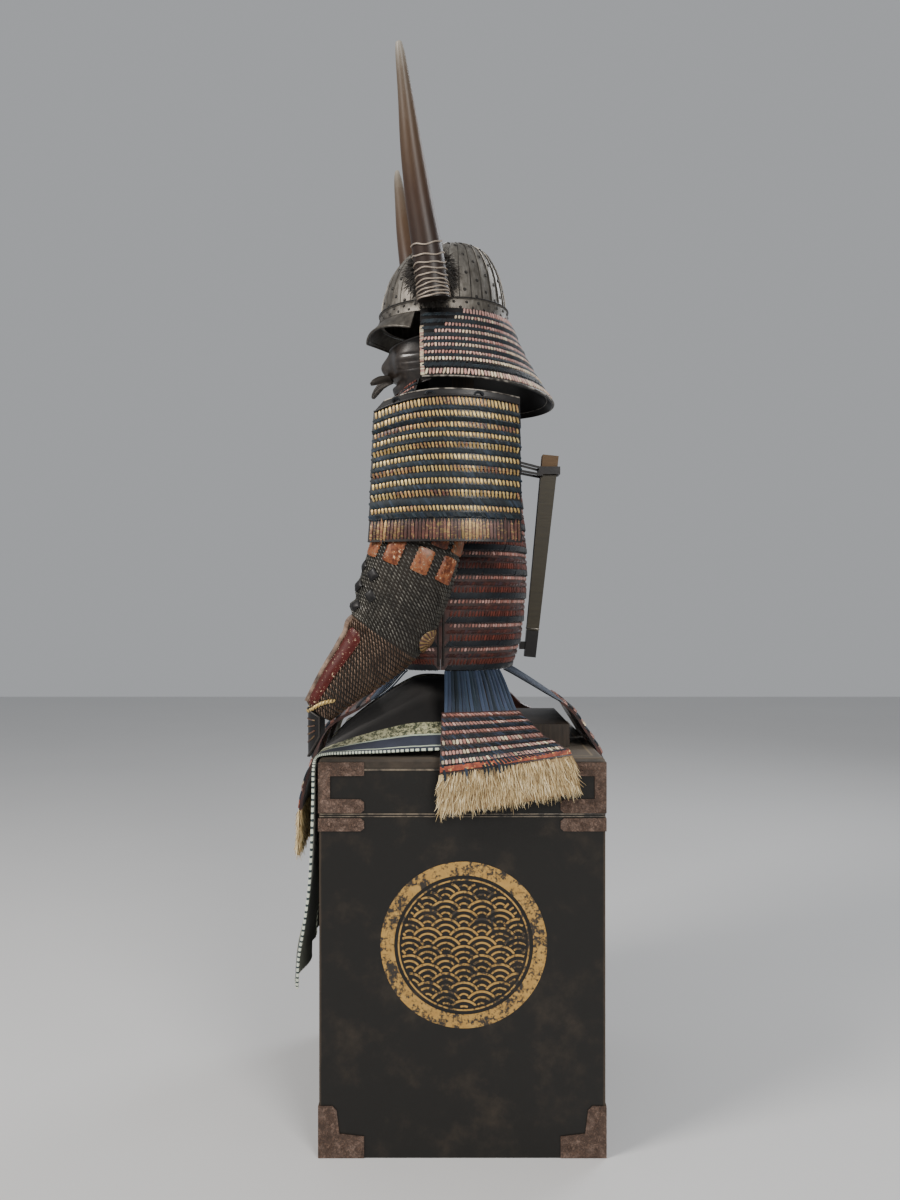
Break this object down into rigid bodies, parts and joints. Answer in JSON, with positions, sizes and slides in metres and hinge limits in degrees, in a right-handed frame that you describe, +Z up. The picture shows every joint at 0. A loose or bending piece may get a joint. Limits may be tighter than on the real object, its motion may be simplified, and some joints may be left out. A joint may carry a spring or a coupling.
{
  "type": "samurai armour on storage chest",
  "caption": "Laced plate armour with horned helmet, mask, sleeves and fur-edged skirt, seated on a square lacquered storage chest with iron corners.",
  "frame": {"origin": "middle of the chest's flat underside, on the floor", "axes": "+Z up, the armour faces -Y, its left arm is at +X"},
  "size_m": [0.4764, 0.4519, 1.5405],
  "materials": {
    "chest_lacquer": "aged black-brown lacquer over wood, satin, scratched, gold leaf badge",
    "fitting_iron": "rusted chased iron plates with round nails",
    "stand_wood": "dark stained wood with worn brown lacquer",
    "helmet_iron": "russet iron plates with rivets, dark in the seams",
    "horn": "polished buffalo horn, dark at the root and silvery at the tip",
    "dark_fur": "short dark brown fur",
    "mask_lacquer": "brown-black lacquer over iron or leather",
    "pink_lacing": "faded pink and navy silk lacing, pale fur fringe",
    "gold_lacing": "gilt lacquered scales with navy lacing, worn to brown",
    "red_lames": "dark red lacquered lames laced in navy",
    "sleeve_mail": "black mail and lacquered splints on cloth",
    "navy_cloth": "navy cloth with brocade bands and corded edges"
  },
  "bodies": {
    "root": {"chest_body": "chest_lacquer", "chest_lid": "chest_lacquer", "stand": "stand_wood", "helmet_bowl": "helmet_iron", "helmet_crown_ring": "helmet_iron", "helmet_band": "helmet_iron", "helmet_peak": "helmet_iron", "neck_guard": "pink_lacing", "face_mask": "mask_lacquer", "throat_guard": "red_lames", "cuirass_front": "red_lames", "cuirass_back": "red_lames", "banner_tube_left": "stand_wood", "banner_tube_right": "stand_wood", "banner_tube_front": "stand_wood", "banner_tube_back": "stand_wood", "tube_bracket": "fitting_iron", "tube_cup": "fitting_iron", "tasset_front_middle": "pink_lacing", "lid_fitting_front_left": "fitting_iron", "body_strap_front_left": "fitting_iron", "foot_fitting_front_left": "fitting_iron", "lid_fitting_front_right": "fitting_iron", "body_strap_front_right": "fitting_iron", "foot_fitting_front_right": "fitting_iron", "lid_fitting_back_left": "fitting_iron", "body_strap_back_left": "fitting_iron", "foot_fitting_back_left": "fitting_iron", "lid_fitting_back_right": "fitting_iron", "body_strap_back_right": "fitting_iron", "foot_fitting_back_right": "fitting_iron", "horn_left": "horn", "horn_fur_left": "dark_fur", "shoulder_strap_left": "mask_lacquer", "shoulder_guard_left": "gold_lacing", "shoulder_guard_cap_left": "mask_lacquer", "upper_sleeve_left": "sleeve_mail", "lower_sleeve_left": "sleeve_mail", "hand_guard_left": "sleeve_mail", "tasset_front_left": "pink_lacing", "tasset_side_left": "pink_lacing", "tasset_back_left": "navy_cloth", "thigh_apron_left": "navy_cloth", "horn_right": "horn", "horn_fur_right": "dark_fur", "shoulder_strap_right": "mask_lacquer", "shoulder_guard_right": "gold_lacing", "shoulder_guard_cap_right": "mask_lacquer", "upper_sleeve_right": "sleeve_mail", "lower_sleeve_right": "sleeve_mail", "hand_guard_right": "sleeve_mail", "tasset_front_right": "pink_lacing", "tasset_side_right": "pink_lacing", "tasset_back_right": "navy_cloth", "thigh_apron_right": "navy_cloth"}
  },
  "joints": []
}
